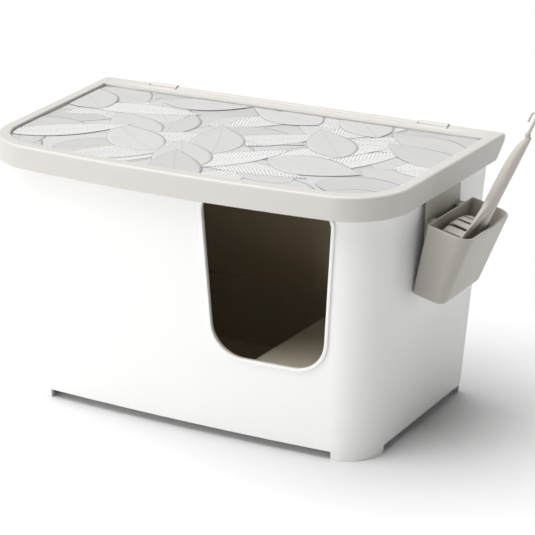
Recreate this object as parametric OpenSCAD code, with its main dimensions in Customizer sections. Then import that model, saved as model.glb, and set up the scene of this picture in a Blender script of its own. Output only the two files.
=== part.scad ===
// Hooded cat litter box: a tapered plastic body with a cat doorway in its front,
// a taupe lining, a lift-out litter tray with an entry platform, a rear-hinged lid
// with a printed sheet in its top, and a hang-on holder with its scoop.
// The front faces -Y, the floor is z = 0 and +X is the holder's side.

/* [Lid] */
// Width of the lid along its rear edge
lid_w = 570; // [480:5:690]
// Depth of the lid from its rear edge to its front corners
lid_d = 331; // [280:1:400]
// Overall height of the closed box
box_h = 338; // [285:1:410]
// How far the middle of the lid's front bows out past its corners
front_crown = 9; // [4:1:14]
// Angle by which each side of the lid and body closes in towards the front
side_splay = 3.3; // [0:0.1:5]
// Radius of the lid's front corners
lid_corner_r = 76; // [60:1:95]
// Height of the lid's skirt
skirt_h = 29; // [24:1:34]
// Wall thickness of the lid
lid_t = 2.5; // [2:0.1:3]
// Depth of the recess that holds the printed sheet
recess_h = 5; // [3:0.5:6]
// Width of the lid's top rim along its sides
rim_side = 15; // [12:1:20]
// Width of the lid's top rim along its front
rim_front = 17; // [14:1:22]
// Width of the lid's top rim along its rear
rim_rear = 32; // [28:1:40]
// Thickness of the printed sheet
sheet_t = 0.6; // [0.4:0.1:1]

/* [Body] */
// Wall thickness of the body
wall_t = 2.5; // [2:0.1:3]
// How far the lid stands out past the body at each side
side_overhang = 9.5; // [8:0.5:12]
// How far the lid stands out past the body at the front
front_overhang = 13; // [10:0.5:18]
// How far the lid stands out past the body at the rear
rear_overhang = 21.5; // [20:0.5:26]
// How much each side of the body closes in down to the floor
side_taper = 21; // [10:1:26]
// How much the front of the body closes in down to the floor
front_taper = 26; // [12:1:30]
// How much the rear of the body closes in down to the floor
rear_taper = 7.5; // [4:0.5:14]
// Radius of the body's front corners at the floor
base_corner_r = 50; // [44:1:60]
// Height of the corner feet
foot_h = 11; // [8:1:14]
// Thickness of the feet's walls
foot_t = 6; // [4:0.5:10]
// Length of each foot along the front and the rear
foot_along_x = 52; // [45:1:60]
// Length of each front foot along the side
foot_front_y = 60; // [54:1:75]
// Length of each rear foot along the side
foot_rear_y = 46; // [40:1:60]

/* [Doorway] */
// Distance of the doorway's middle from the middle of the box, at its top
door_x = 119.5; // [100:1:125]
// Width of the doorway at its top
door_w = 160; // [145:1:170]
// How much the doorway's left side leans in down to the sill
door_lean_left = 5; // [0:0.5:12]
// How much the doorway's right side leans in down to the sill
door_lean_right = 11; // [0:0.5:14]
// Height of the doorway's sill above the floor
sill_z = 113; // [108:1:125]
// Radius of the doorway's lower corners
door_low_r = 40; // [20:1:50]
// Radius of the doorway's upper corners
door_top_r = 7; // [4:1:12]
// Width of the raised lip round the doorway
lip_w = 4.6; // [3:0.1:6]
// How far the lip stands out of the wall
lip_h = 2.2; // [1.5:0.1:3.5]

/* [Inside] */
// Wall thickness of the lining
lining_t = 1.8; // [1.4:0.1:2.2]
// Wall thickness of the litter tray and of the entry platform
tray_t = 2.4; // [2:0.1:3]
// Height of the litter tray's rim above the floor
tray_rim_z = 101; // [88:1:104]
// Width of the litter tray's rim
tray_rim_w = 6; // [5:0.5:9]
// Where the platform's free edge meets the front of the tray
step_front_x = 77; // [60:1:90]
// Where the platform's free edge meets the rear of the tray
step_rear_x = 103; // [77:1:112]
// Outer radius of the bend along the platform's free edge
step_bend_r = 11; // [6:1:14]
// Depth from the platform's top to the foot of its free edge
step_drop = 24; // [18:1:34]

/* [Hinges] */
// Distance of each hinge from the middle of the lid
hinge_x = 192; // [150:1:210]
// Radius of the hinge pins
pin_r = 2.5; // [2:0.1:3]
// Length of the hinge pins
pin_l = 76; // [70:1:90]
// Width of the middle knuckle on each bracket
knuckle_w = 38; // [30:1:42]
// Radius of the knuckles
knuckle_r = 5.6; // [5:0.1:6]

/* [Scoop holder] */
// Distance of the holder behind the middle of the box
holder_y = 6; // [-15:1:20]
// Width of the cup at its rim
cup_w = 123; // [108:1:135]
// Width of the cup at its foot
cup_foot_w = 108; // [104:1:116]
// Depth of the cup at its rim, from the back wall outwards
cup_d = 54; // [48:1:65]
// Depth of the cup at its foot
cup_foot_d = 40; // [34:1:46]
// Height of the cup along its back wall
cup_h = 93; // [84:1:112]
// Height of the cup's rim above the floor, at its back wall
cup_rim_z = 284; // [270:1:290]
// Outward lean of the cup
cup_tilt = 12.5; // [8:0.5:16]
// Wall thickness of the cup and of the hanger
cup_t = 2.2; // [1.8:0.1:2.8]
// Width of the hanger that hooks over the body's wall
hanger_w = 90; // [70:1:100]
// Gap between the hanger and the outside of the body's wall
hanger_gap = 3; // [1:0.5:4]
// Width of the web that joins each end of the hanger to the cup
web_w = 15; // [8:1:24]

/* [Scoop] */
// Width of the scoop's head
head_w = 92; // [76:1:95]
// Depth of the scoop's heel below the cup's rim
heel_drop = 6; // [0:0.5:14]
// Depth of the head at its heel, from the slotted sheet outwards
heel_d = 30; // [24:1:34]
// How much lower the heel is at its ends than in its middle
heel_crown = 11; // [6:1:14]
// Thickness of the scoop's sheet
scoop_t = 2.2; // [1.8:0.1:2.6]
// Number of slots in the head
slot_n = 5; // [3:2:5]
// Distance from one slot to the next
slot_pitch = 17.5; // [12:0.5:18]
// Width of each slot
slot_w = 6; // [4:0.5:7]
// Length of the handle from the head to its neck
handle_l = 131; // [105:1:165]
// Radius of the handle where it leaves the head
handle_r = 7.8; // [6.5:0.1:8.5]
// Radius of the handle at its neck
neck_r = 2.6; // [2.4:0.1:4]
// Outward lean of the handle against the head
handle_lean = 11.2; // [6:0.2:14]
// Length of the thin stem between the handle's neck and its hook
stem_l = 24; // [14:1:34]
// Inner radius of the hook at the handle's end
hook_r = 2; // [2:0.1:5]
// Radius of the hook's round bar
hook_bar_r = 1.3; // [1.2:0.1:1.8]

/* [Hidden] */

// Colours
white = [0.95, 0.95, 0.94];
warm_grey = [0.80, 0.78, 0.75];
taupe = [0.62, 0.59, 0.54];
pale_print = [0.88, 0.88, 0.87];

// Clearances and small fixed sizes
lid_gap = 0.5;          // between the body's top edge and the lid's plate
lining_gap = 0.4;       // between the body's wall and the lining
lining_drop = 16;       // from the body's top edge down to the lining's
tray_gap = 1.6;         // between the lining and the tray's rim
rest_gap = 0.2;         // under a piece that stands on another
pin_gap = 0.05;         // radial clearance of the hinge pins
floor_t = 2.5;
rear_corner_r = 8;
lid_rear_r = 4;
crown_loss = 4;         // the body's front bows out less at the floor than at the top
skirt_rear_h = 6;       // full height of the skirt at its rear end
skirt_slant = 27;       // how far the skirt's rear end slants forward
channel_w = 6;          // hollow under the lid's rim
notch_depth = 9;        // seat of the holder's hook, cut in the wall's top edge
notch_room = 2.5;       // in front of that hook, and one less behind it
hook_leg = 5;           // reach of that hook down inside the wall
thin = 0.01;

// Heights and depths that follow from them
lid_top = box_h;
plate_top = lid_top - recess_h;
plate_low = plate_top - lid_t;
skirt_low = lid_top - skirt_h;
body_top = plate_low - lid_gap;
rear_y = lid_d / 2;
front_y = -lid_d / 2;
splay = tan(side_splay);
lid_half = lid_w / 2 - rear_y * splay;
lining_top = body_top - lining_drop;
lining_low = tray_rim_z + tray_t + 1;
lining_in = wall_t + lining_gap + lining_t;
tray_out = lining_in + tray_gap;
floor_top = foot_h + floor_t;
tray_low = floor_top + rest_gap;

// Hinge axis
axis_y = rear_y - 4.5;
axis_z = lid_top - 3.5;

// Points of an arc about [cx, cy] from angle a0 to a1
function arc(cx, cy, r, a0, a1, n = 8) =
    [for (i = [0:n]) let (a = a0 + (a1 - a0) * i / n) [cx + r * cos(a), cy + r * sin(a)]];

// Plan of a level: straight rear, sides that splay, round front corners, bowed front.
// half is the half width at y = 0, back and front are where the rear and corners lie.
function plan(half, back, front, crown, r, rear_r) =
    let (cx = half + (front + r) * splay - r / cos(side_splay),
         rx = half + (back - rear_r) * splay - rear_r / cos(side_splay),
         right = concat(arc(cx, front + r, r, -84, -side_splay, 9),
                        arc(rx, back - rear_r, rear_r, -side_splay, 90, 5)),
         bow = [for (i = [-8:8]) [cx * i / 8, front - crown * (1 - pow(i / 8, 2))]])
    concat(bow, right, [for (i = [len(right) - 1:-1:0]) [-right[i][0], right[i][1]]]);

function mix(a, b, k) = a + (b - a) * k;

// Body wall at height z, moved in by inset
function body_plan(z, inset = 0) =
    let (k = z / body_top)
    plan(lid_half - side_overhang - mix(side_taper, 0, k) - inset,
         rear_y - rear_overhang - mix(rear_taper, 0, k) - inset,
         front_y + front_overhang + mix(front_taper, 0, k) + inset,
         front_crown - mix(crown_loss, 0, k),
         mix(base_corner_r, lid_corner_r - side_overhang, k) - inset,
         max(rear_corner_r - inset, 1.5));

// Lid at any height, moved in by side, front and rear insets
function lid_plan(side, front, rear) =
    plan(lid_half - side, rear_y - rear, front_y + front, front_crown,
         lid_corner_r - (side + front) / 2, max(lid_rear_r - side, 2));

// Outer half width of the body's side wall at height z and depth y
function wall_x(z, y) =
    lid_half - side_overhang - side_taper * (1 - z / body_top) + y * splay;

// Solid between two levels of the body's own shape
module body_core(z0, z1, in0, in1) {
    hull() {
        translate([0, 0, z0]) linear_extrude(thin) polygon(body_plan(z0, in0));
        translate([0, 0, z1 - thin]) linear_extrude(thin) polygon(body_plan(z1, in1));
    }
}

// Doorway outline in x and z, grown by g; the sides lean in towards the sill
module door_outline(g = 0) {
    low = door_low_r + g;
    top = door_top_r + g;
    left = door_x - door_w / 2 - g;
    right = door_x + door_w / 2 + g;
    low_z = sill_z - g;
    top_z = skirt_low - 3 + g;
    polygon(concat(arc(left + door_lean_left + low, low_z + low, low, 180, 270, 10),
                   arc(right - door_lean_right - low, low_z + low, low, 270, 360, 10),
                   arc(right - top, top_z - top, top, 0, 90, 4),
                   arc(left + top, top_z - top, top, 90, 180, 4)));
}

// Doorway block through the front wall from y0 to y1
module door_block(g, y0, y1) {
    translate([0, y1, 0]) rotate([90, 0, 0]) linear_extrude(y1 - y0) door_outline(g);
}

// Openings between the feet, cut right across the base in both directions
module foot_gaps() {
    base_half = lid_half - side_overhang - side_taper + front_y * splay;
    base_front = front_y + front_overhang + front_taper;
    base_rear = rear_y - rear_overhang - rear_taper;
    gap_x = 2 * (base_half - foot_along_x);
    gap_y0 = base_front + foot_front_y;
    gap_y1 = base_rear - foot_rear_y;
    translate([-gap_x / 2, -lid_d, -1]) cube([gap_x, 2 * lid_d, foot_h + 1]);
    translate([-lid_w, gap_y0, -1]) cube([2 * lid_w, gap_y1 - gap_y0, foot_h + 1]);
}

// White body: tapered walls, a floor on four corner feet, the doorway and its lip
module body_shell() {
    door_y0 = front_y - 60;
    door_y1 = front_y + 90;
    color(white) difference() {
        union() {
            body_core(0, body_top, 0, 0);
            intersection() {
                body_core(0, body_top, -lip_h, -lip_h);
                door_block(lip_w, door_y0, front_y + front_overhang + front_taper);
            }
        }
        body_core(floor_top, body_top + 1, wall_t, wall_t);
        translate([0, 0, -1]) linear_extrude(foot_h + 1) polygon(body_plan(0, foot_t));
        door_block(0, door_y0, door_y1);
        foot_gaps();
        hanger_notch();
    }
}

// Seat for the holder's hook in the top edge of the right-hand wall
module hanger_notch() {
    y0 = holder_y - hanger_w / 2 - notch_room;
    x0 = wall_x(body_top, holder_y) - 20;
    translate([x0, y0, body_top - notch_depth]) cube([40, hanger_w + 1 + notch_room, notch_depth + 1]);
}

// Taupe lining of the walls, from just under the top edge down to the tray
module inner_lining() {
    color(taupe) difference() {
        body_core(lining_low, lining_top, wall_t + lining_gap, wall_t + lining_gap);
        body_core(lining_low - 1, lining_top + 1, lining_in, lining_in);
        door_block(1, front_y - 60, front_y + 90);
    }
}

// Taupe tray that holds the litter, with a flat rim all round
module litter_tray() {
    under_rim = tray_out + tray_rim_w;
    color(taupe) union() {
        difference() {
            body_core(tray_low, tray_rim_z, under_rim + 4, under_rim - tray_t);
            body_core(tray_low + tray_t, tray_rim_z + 1, under_rim + 4 + tray_t, under_rim);
        }
        translate([0, 0, tray_rim_z - tray_t]) linear_extrude(tray_t) difference() {
            polygon(body_plan(tray_rim_z, tray_out));
            polygon(body_plan(tray_rim_z, under_rim));
        }
    }
}

// Taupe platform that the cat steps on to: a plate on the tray's rim, right of the pit,
// whose free edge bends down into the pit
module entry_platform() {
    low = tray_rim_z + rest_gap;
    color(taupe) union() {
        intersection() {
            step_bar();
            translate([0, 0, low]) linear_extrude(step_drop) polygon(body_plan(tray_rim_z, tray_out + 0.8));
        }
        intersection() {
            step_bar();
            translate([0, 0, low - step_drop]) linear_extrude(step_drop + thin)
                polygon(body_plan(tray_low, tray_out + tray_rim_w + 7));
        }
    }
}

// The platform's section, drawn across its free edge and run along it past both walls
module step_bar() {
    top = tray_rim_z + rest_gap + tray_t;
    xm = (step_front_x + step_rear_x) / 2;
    r = step_bend_r;
    bend = concat(arc(r, -r, r, 180, 90, 8), [[lid_w, 0], [lid_w, -tray_t]],
                  arc(r, -r, r - tray_t, 90, 180, 8), [[tray_t, -step_drop], [0, -step_drop]]);
    translate([xm, 0, top]) rotate([0, 0, -atan((step_rear_x - step_front_x) / lid_d)])
        translate([0, lid_d, 0]) rotate([90, 0, 0]) linear_extrude(2 * lid_d) polygon(bend);
}

// Lid: bowed rim, skirt, recessed top plate, hinge barrels and slots for the knuckles
module lid_frame() {
    color(warm_grey) difference() {
        union() {
            difference() {
                translate([0, 0, skirt_low]) linear_extrude(skirt_h) polygon(lid_plan(0, 0, 0));
                translate([0, 0, skirt_low - 1]) linear_extrude(plate_low - skirt_low + 1)
                    polygon(lid_plan(lid_t, lid_t, lid_t));
                translate([0, 0, plate_top]) linear_extrude(recess_h + 1)
                    polygon(lid_plan(rim_side, rim_front, rim_rear));
                rim_channel();
                rear_groove();
            }
            for (side = [-1, 1]) lid_barrels(side);
        }
        skirt_rear_cut();
        for (side = [-1, 1]) knuckle_slot(side);
        for (side = [-1, 1]) translate([side * hinge_x, axis_y, axis_z]) rotate([0, 90, 0])
            cylinder(h = pin_l + 0.4, r = pin_r + pin_gap, center = true, $fn = 48);
    }
}

// Hollow under the lid's raised rim, so the rim is no thicker than the walls
module rim_channel() {
    translate([0, 0, plate_low - 1]) linear_extrude(lid_top - lid_t - plate_low + 1) difference() {
        polygon(lid_plan(lid_t, lid_t, lid_t));
        polygon(lid_plan(lid_t + channel_w, lid_t + channel_w, lid_t + channel_w + 14));
    }
}

// Two shallow grooves along the lid's rear rim
module rear_groove() {
    length = lid_w - 2 * rim_side - 6;
    for (back = [9, 20]) translate([-length / 2, rear_y - back - 1.5, lid_top - 0.8]) cube([length, 1.5, 2]);
}

// Cuts the skirt's rear end to a slant and leaves a short lip along the rear edge
module skirt_rear_cut() {
    lip_low = lid_top - skirt_rear_h;
    translate([-lid_w, 0, 0]) rotate([90, 0, 90]) linear_extrude(2 * lid_w)
        polygon([[rear_y - skirt_slant, skirt_low - 1], [rear_y + 20, skirt_low - 1],
                 [rear_y + 20, lip_low - 4.6], [rear_y - 1, lip_low], [rear_y - skirt_slant, skirt_low]]);
}

// Barrels on the lid that take the ends of one hinge's pin
module lid_barrels(side) {
    length = (pin_l - knuckle_w) / 2 - 1.5;
    for (end = [-1, 1]) translate([side * hinge_x + end * (knuckle_w / 2 + 1.5 + length / 2), 0, 0]) {
        translate([0, axis_y, axis_z]) rotate([0, 90, 0])
            cylinder(h = length, r = knuckle_r - 1.6, center = true, $fn = 48);
    }
}

// Slot in the lid's rear edge for the bracket's knuckle
module knuckle_slot(side) {
    w = knuckle_w + 3;
    translate([side * hinge_x - w / 2, axis_y - knuckle_r - 2.5, plate_low - 10]) cube([w, 40, 40]);
}

// Printed sheet in the lid's recess
module lid_printed_sheet() {
    color(pale_print) translate([0, 0, plate_top + 0.02]) linear_extrude(sheet_t)
        polygon(lid_plan(rim_side + 0.8, rim_front + 0.8, rim_rear + 0.8));
}

// Bracket on the body's rear wall that carries one knuckle
module hinge_bracket(side) {
    wall_y = rear_y - rear_overhang + 0.1;
    plate_h = 34;
    plate_t = 3;
    top = body_top - 0.5;
    color(warm_grey) translate([side * hinge_x, 0, 0]) difference() {
        union() {
            translate([-pin_l / 2, wall_y, top - plate_h]) cube([pin_l, plate_t, plate_h]);
            translate([-knuckle_w / 2, wall_y + 1, top - 7]) cube([knuckle_w, axis_y - wall_y - 1, 7]);
            translate([-knuckle_w / 2, axis_y - knuckle_r, top - 7]) cube([knuckle_w, 2 * knuckle_r, 11.5]);
            translate([0, axis_y, axis_z]) rotate([0, 90, 0])
                cylinder(h = knuckle_w, r = knuckle_r, center = true, $fn = 64);
            for (x = [-1, 0, 1]) translate([x * (knuckle_w / 2 - 1.5), wall_y + plate_t, 0]) bracket_rib(top);
        }
        translate([0, axis_y, axis_z]) rotate([0, 90, 0])
            cylinder(h = knuckle_w + 2, r = pin_r + pin_gap, center = true, $fn = 48);
    }
}

// Gusset under a bracket's arm
module bracket_rib(top) {
    reach = 14;
    translate([-1.5, 0, 0]) rotate([90, 0, 90]) linear_extrude(3)
        polygon([[-1, top - 28], [0, top - 28], [reach, top - 6], [-1, top - 6]]);
}

// Pin of one hinge
module hinge_pin(side) {
    color("silver") translate([side * hinge_x, axis_y, axis_z]) rotate([0, 90, 0])
        cylinder(h = pin_l, r = pin_r, center = true, $fn = 48);
}

// Rounded rectangle from the back wall outwards: nearly square at the back, round outside
module cup_outline(w, d, inset = 0) {
    r_out = d * 0.3 - inset;
    r_in = 3.5 - inset;
    h = w / 2 - inset;
    polygon(concat(arc(inset + r_in, -h + r_in, r_in, 180, 270, 3),
                   arc(d - inset - r_out, -h + r_out, r_out, 270, 360, 8),
                   arc(d - inset - r_out, h - r_out, r_out, 0, 90, 8),
                   arc(inset + r_in, h - r_in, r_in, 90, 180, 3)));
}

// Frame of the cup: x outwards, z up along its back wall, origin on the rim's back edge
cup_foot_x = wall_x(cup_rim_z - cup_h * cos(cup_tilt), holder_y) + 0.8;
cup_back_x = cup_foot_x + cup_h * sin(cup_tilt);
module in_cup() {
    translate([cup_back_x, holder_y, cup_rim_z]) rotate([0, 0, -side_splay]) rotate([0, cup_tilt, 0]) children();
}

// Cup and hanger in one moulding
module scoop_holder() {
    color(taupe) union() {
        in_cup() cup();
        hanger();
    }
}

module cup() {
    difference() {
        hull() {
            translate([0, 0, -thin]) linear_extrude(thin) cup_outline(cup_w, cup_d);
            translate([0, 0, -cup_h]) linear_extrude(thin) cup_outline(cup_foot_w, cup_foot_d);
        }
        hull() {
            translate([0, 0, 1]) linear_extrude(thin) cup_outline(cup_w, cup_d, cup_t);
            translate([0, 0, -cup_h + cup_t]) linear_extrude(thin) cup_outline(cup_foot_w, cup_foot_d, cup_t);
        }
    }
}

// Plate by the body's wall, hook over its top edge, and a web and a rib to the cup at each end
module hanger() {
    low = cup_rim_z - 26;
    seat = body_top - notch_depth + rest_gap;
    out_face = wall_x(seat, 0) + hanger_gap;
    in_face = wall_x(seat, 0) - wall_t - 0.4;
    plate = [[out_face, low], [out_face + cup_t, low], [out_face + cup_t, seat + cup_t],
             [in_face - cup_t, seat + cup_t], [in_face - cup_t, seat - hook_leg],
             [in_face, seat - hook_leg], [in_face, seat], [out_face, seat]];
    shelf = cup_rim_z - 1.5;
    back = cup_back_x - wall_x(0, holder_y) + wall_x(0, 0);
    web = [[out_face + 1, shelf - cup_t], [out_face + 1, shelf], [back + 1, shelf], [back + 1, shelf - cup_t]];
    rib = [[out_face + 1, low], [out_face + 1, shelf], [back + 0.5, shelf], [back - 4.2, low]];
    along_wall(0, hanger_w) polygon(plate);
    for (end = [-1, 1]) {
        along_wall(end * (hanger_w - web_w) / 2, web_w) polygon(web);
        along_wall(end * (hanger_w - cup_t) / 2, cup_t) polygon(rib);
    }
}

// Extrudes an x-z outline drawn at y = 0 along the side wall, off from the holder's middle
module along_wall(off, length) {
    translate([wall_x(0, holder_y), holder_y, 0]) rotate([0, 0, -side_splay])
        translate([-wall_x(0, 0), off + length / 2, 0])
        rotate([90, 0, 0]) linear_extrude(length) children();
}

// Scoop, drawn in the cup's frame from the top of its heel: head down, handle leaning out
sheet_x = 6;
tip_x = 9;
tip_z = cup_t + rest_gap + heel_drop - cup_h;
heel_front = sheet_x + heel_d;
module scoop() {
    color(taupe) in_cup() translate([0, 0, -heel_drop]) union() {
        scoop_head();
        translate([heel_front, 0, 0]) rotate([0, handle_lean, 0]) scoop_handle();
    }
}

// Slotted basket: a sheet by the cup's back, a domed heel on top and tapering sides
module scoop_head() {
    difference() {
        head_block(0, heel_front, tip_z);
        head_block(scoop_t, heel_front + 20, tip_z - 20);
        for (i = [0:slot_n - 1]) translate([0, (i - (slot_n - 1) / 2) * slot_pitch - slot_w / 2, tip_z + 16])
            cube([heel_front - 3, slot_w, cup_h]);
    }
}

// Head's outer shape (inset 0) or its hollow (inset = the sheet's thickness)
module head_block(inset, front, low) {
    bend = 9;
    side = concat([[tip_x + inset, low], [tip_x + inset, tip_z + 2]],
                  arc(sheet_x + bend, -bend, bend - inset, 180, 90, 6),
                  [[front, -inset], [front, -heel_crown - 4],
                   [inset > 0 ? front : tip_x + 5, inset > 0 ? low : tip_z]]);
    h = head_w / 2 - inset;
    dome_r = (pow(head_w / 2, 2) + pow(heel_crown, 2)) / (2 * heel_crown);
    dome = [for (i = [-8:8]) let (y = h * i / 8) [y, sqrt(pow(dome_r - inset, 2) - y * y) - dome_r]];
    round_low = inset > 0 ? 1 : 14;
    intersection() {
        translate([0, head_w, 0]) rotate([90, 0, 0]) linear_extrude(2 * head_w) polygon(side);
        rotate([90, 0, 90]) linear_extrude(front + 1)
            polygon(concat(arc(-h + round_low, low + round_low, round_low, 270, 180, 5), dome,
                           arc(h - round_low, low + round_low, round_low, 0, -90, 5)));
    }
}

// Radius of the handle and the shift of its middle at the height k of its length
function grip_r(k) = mix(handle_r, neck_r, pow(k, 7));
function grip_x(k) = 3 + handle_r - grip_r(k);
stem_x = 5;

// Tapered handle on a triangular web, with a collar and an open hook at its neck
module scoop_handle() {
    joints = [0.04, 0.5, 0.7, 0.82, 0.92, 1];
    bend_x = hook_r + hook_bar_r;
    hook_z = handle_l + stem_l;
    translate([-1.5, 0, 0]) rotate([90, 0, 90]) linear_extrude(3)
        polygon([[3 - head_w / 2, -heel_crown], [head_w / 2 - 3, -heel_crown], [6, 30], [-6, 30]]);
    for (i = [0:len(joints) - 2]) hull() {
        grip_slice(joints[i]);
        grip_slice(joints[i + 1]);
    }
    translate([stem_x, 0, handle_l - 2]) cylinder(h = 4, r1 = neck_r, r2 = neck_r + 0.6, $fn = 48);
    translate([stem_x, 0, handle_l]) cylinder(h = stem_l, r = hook_bar_r, $fn = 32);
    translate([stem_x - bend_x, 0, hook_z]) rotate([90, 0, 0])
        rotate_extrude(angle = 180, $fn = 48) translate([bend_x, 0]) circle(r = hook_bar_r, $fn = 24);
    translate([stem_x - 2 * bend_x, 0, hook_z - 5]) cylinder(h = 5.01, r = hook_bar_r, $fn = 32);
}

module grip_slice(k) {
    translate([grip_x(k), 0, k * handle_l - 1]) cylinder(h = 1, r = grip_r(k), $fn = 32);
}

// The origin is the middle of everything's footprint, with the holder and the scoop
end_across = stem_x + hook_bar_r;
end_up = handle_l + stem_l;
end_x = heel_front + end_across * cos(handle_lean) + end_up * sin(handle_lean);
end_z = end_up * cos(handle_lean) - end_across * sin(handle_lean) - heel_drop;
tip_reach = cup_back_x + end_x * cos(cup_tilt) + end_z * sin(cup_tilt);
shift_x = (tip_reach - lid_w / 2) / 2;
shift_y = (rear_y + 1 + front_y - front_crown) / 2;
module placed() {
    translate([-shift_x, -shift_y, 0]) children();
}

placed() body_shell();
placed() inner_lining();
placed() litter_tray();
placed() entry_platform();
placed() lid_frame();
placed() lid_printed_sheet();
placed() hinge_bracket(-1);  // hinge_bracket_left
placed() hinge_bracket(1);  // hinge_bracket_right
placed() hinge_pin(-1);  // hinge_pin_left
placed() hinge_pin(1);  // hinge_pin_right
placed() scoop_holder();
placed() scoop();
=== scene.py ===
# Hooded cat litter box: a white tapered body with a cat doorway, taupe inner parts, a light
# grey lid with a leaf-printed sheet, and a scoop in a hang-on cup.
from math import cos, pi, radians, sin, tan

import bmesh
import bpy
import numpy as np
from mathutils import Matrix, Vector


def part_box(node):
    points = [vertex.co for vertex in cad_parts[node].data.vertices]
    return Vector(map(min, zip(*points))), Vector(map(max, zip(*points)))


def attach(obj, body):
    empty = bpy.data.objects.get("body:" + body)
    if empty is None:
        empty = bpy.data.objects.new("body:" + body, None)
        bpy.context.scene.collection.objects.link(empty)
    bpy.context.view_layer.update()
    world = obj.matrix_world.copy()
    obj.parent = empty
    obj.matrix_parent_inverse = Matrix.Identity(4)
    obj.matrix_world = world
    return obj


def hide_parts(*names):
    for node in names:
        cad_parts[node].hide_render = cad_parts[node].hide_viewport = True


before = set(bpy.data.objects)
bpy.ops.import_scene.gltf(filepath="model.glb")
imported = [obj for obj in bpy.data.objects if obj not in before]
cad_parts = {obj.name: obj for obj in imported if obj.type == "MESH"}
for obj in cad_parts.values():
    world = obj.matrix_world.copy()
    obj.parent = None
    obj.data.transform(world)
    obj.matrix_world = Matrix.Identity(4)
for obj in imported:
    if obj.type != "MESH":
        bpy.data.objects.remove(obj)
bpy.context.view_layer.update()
scene = bpy.context.scene

# ---------------------------------------------------------------------------
# Studio: a wide pale floor that turns up into a back wall, under a broad overhead light and
# three soft lamps. The camera stands about two and a half metres off, at the front right
# corner. Points of the box are measured from the floor under its lid's middle.

lid_half_depth = 0.1655
lid_low, lid_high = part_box("lid_frame")
mid_x = (lid_low.x + lid_high.x) / 2
mid_y = lid_high.y - lid_half_depth

camera_at = Vector((mid_x + 1.0657, mid_y - 2.0130, 0.9985))
camera_side, camera_down, camera_roll = radians(26.95), radians(20.08), radians(0.488)
camera_turn = (Matrix.Rotation(camera_side, 3, "Z") @ Matrix.Rotation(pi / 2 - camera_down, 3, "X")
               @ Matrix.Rotation(camera_roll, 3, "Z"))
camera = bpy.data.objects.new("camera", bpy.data.cameras.new("camera"))
camera.matrix_world = Matrix.LocRotScale(camera_at, camera_turn, None)
camera.data.lens = 131.47
camera.data.sensor_width = 36
camera.data.shift_x = 0.0023
camera.data.shift_y = 0.0013
scene.collection.objects.link(camera)
scene.camera = camera


def quads(points, wrap=False):
    """Faces of a grid of points (rows, columns): every four neighbours, the last column
    joined to the first when wrap is set."""
    rows, columns = points.shape[:2]
    index = np.arange(rows * columns).reshape(rows, columns)
    if wrap:
        index = np.hstack([index, index[:, :1]])
    a, b, c, d = index[:-1, :-1], index[:-1, 1:], index[1:, 1:], index[1:, :-1]
    return np.stack([a, b, c, d], -1).reshape(-1, 4)


def piece(name, grids, finish, sharp=35.0, weld=2e-5):
    """One mesh from grids, each (points, wrap). Grids are welded where they meet, empty faces
    go, and every face is turned outwards. Edges sharper than sharp degrees stay crisp."""
    corners, faces, start = [], [], 0
    for points, wrap in grids:
        corners.append(points.reshape(-1, 3))
        faces.append(quads(points, wrap) + start)
        start += points.shape[0] * points.shape[1]
    mesh = bpy.data.meshes.new(name)
    mesh.from_pydata(np.concatenate(corners).tolist(), [], np.concatenate(faces).tolist())
    work = bmesh.new()
    work.from_mesh(mesh)
    bmesh.ops.remove_doubles(work, verts=work.verts, dist=weld)
    bmesh.ops.dissolve_degenerate(work, edges=work.edges, dist=weld)
    bmesh.ops.recalc_face_normals(work, faces=work.faces)
    work.to_mesh(mesh)
    work.free()
    mesh.shade_smooth()
    mesh.set_sharp_from_angle(angle=radians(sharp))
    mesh.materials.append(finish)
    thing = bpy.data.objects.new(name, mesh)
    scene.collection.objects.link(thing)
    return thing


class Value:
    """A number or colour on its way through a material. Arithmetic on it adds Math nodes."""

    def __init__(self, finish, socket):
        self.finish, self.socket = finish, socket

    def math(self, operation, first, second=0.0):
        return self.finish.node("ShaderNodeMath", {"operation": operation}, {0: first, 1: second})

    def __add__(self, other):
        return self.math("ADD", self, other)

    def __sub__(self, other):
        return self.math("SUBTRACT", self, other)

    def __rsub__(self, other):
        return self.math("SUBTRACT", other, self)

    def __mul__(self, other):
        return self.math("MULTIPLY", self, other)

    __radd__ = __add__
    __rmul__ = __mul__


class Finish:
    """A material under construction: a Principled shader and the nodes that feed it."""

    def __init__(self, name, **constants):
        self.material = bpy.data.materials.new(name)
        self.material.use_nodes = True
        self.tree = self.material.node_tree
        self.shader = self.tree.nodes["Principled BSDF"]
        for socket, value in constants.items():
            self.shader.inputs[socket.replace("_", " ")].default_value = value
        self.place = self.node("ShaderNodeTexCoord", {}, {}, "Object")

    def node(self, kind, settings, inputs, output=0):
        """A node of a kind, its settings first, then a value or a link for each input."""
        made = self.tree.nodes.new(kind)
        for key, value in settings.items():
            setattr(made, key, value)
        for key, value in inputs.items():
            if isinstance(value, Value):
                self.tree.links.new(value.socket, made.inputs[key])
            else:
                made.inputs[key].default_value = value
        return Value(self, made.outputs[output])

    def noise(self, scale, detail=3.0):
        """Soft random patches, 0 to 1, about scale of them to a metre."""
        inputs = {"Vector": self.place, "Scale": scale, "Detail": detail}
        return self.node("ShaderNodeTexNoise", {}, inputs, "Fac")

    def mix(self, amount, first, second):
        """The colour first turned into the colour second by amount."""
        return self.node("ShaderNodeMix", {"data_type": "RGBA"}, {0: amount, 6: first, 7: second}, 2)

    def feed(self, **values):
        """Links values to the shader's sockets of the same names."""
        for socket, value in values.items():
            self.tree.links.new(value.socket, self.shader.inputs[socket.replace("_", " ")])

    def bump(self, height, strength, distance):
        """A fine relief of the surface, distance metres for each unit of height."""
        inputs = {"Height": height, "Strength": strength, "Distance": distance}
        self.feed(Normal=self.node("ShaderNodeBump", {}, inputs, "Normal"))


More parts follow.
